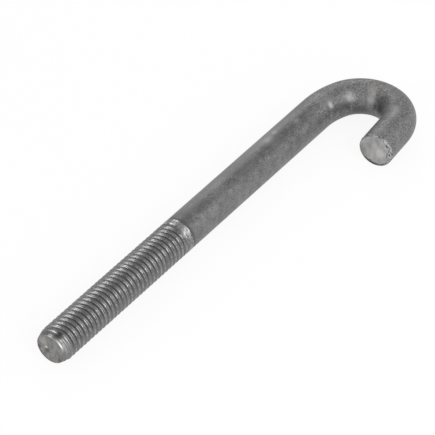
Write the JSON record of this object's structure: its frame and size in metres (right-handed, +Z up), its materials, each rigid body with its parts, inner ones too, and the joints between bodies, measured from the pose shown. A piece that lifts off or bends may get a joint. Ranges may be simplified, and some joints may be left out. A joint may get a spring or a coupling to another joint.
{
  "type": "j bolt",
  "caption": "Round steel bar threaded at one end and bent into an open hook at the other, to anchor or hold down what a nut clamps.",
  "frame": {"origin": "centre of the flat face of the threaded end", "axes": "+X along the shank towards the hook, the hook is bent towards -Y, +Z up and square to the plane of the hook, which lies flat"},
  "size_m": [0.1732, 0.0418, 0.0126],
  "materials": {
    "bar_steel": "plain uncoated bar, dull grey with brighter thread crests and cut ends"
  },
  "bodies": {
    "root": {"j_bolt": "bar_steel"}
  },
  "joints": []
}
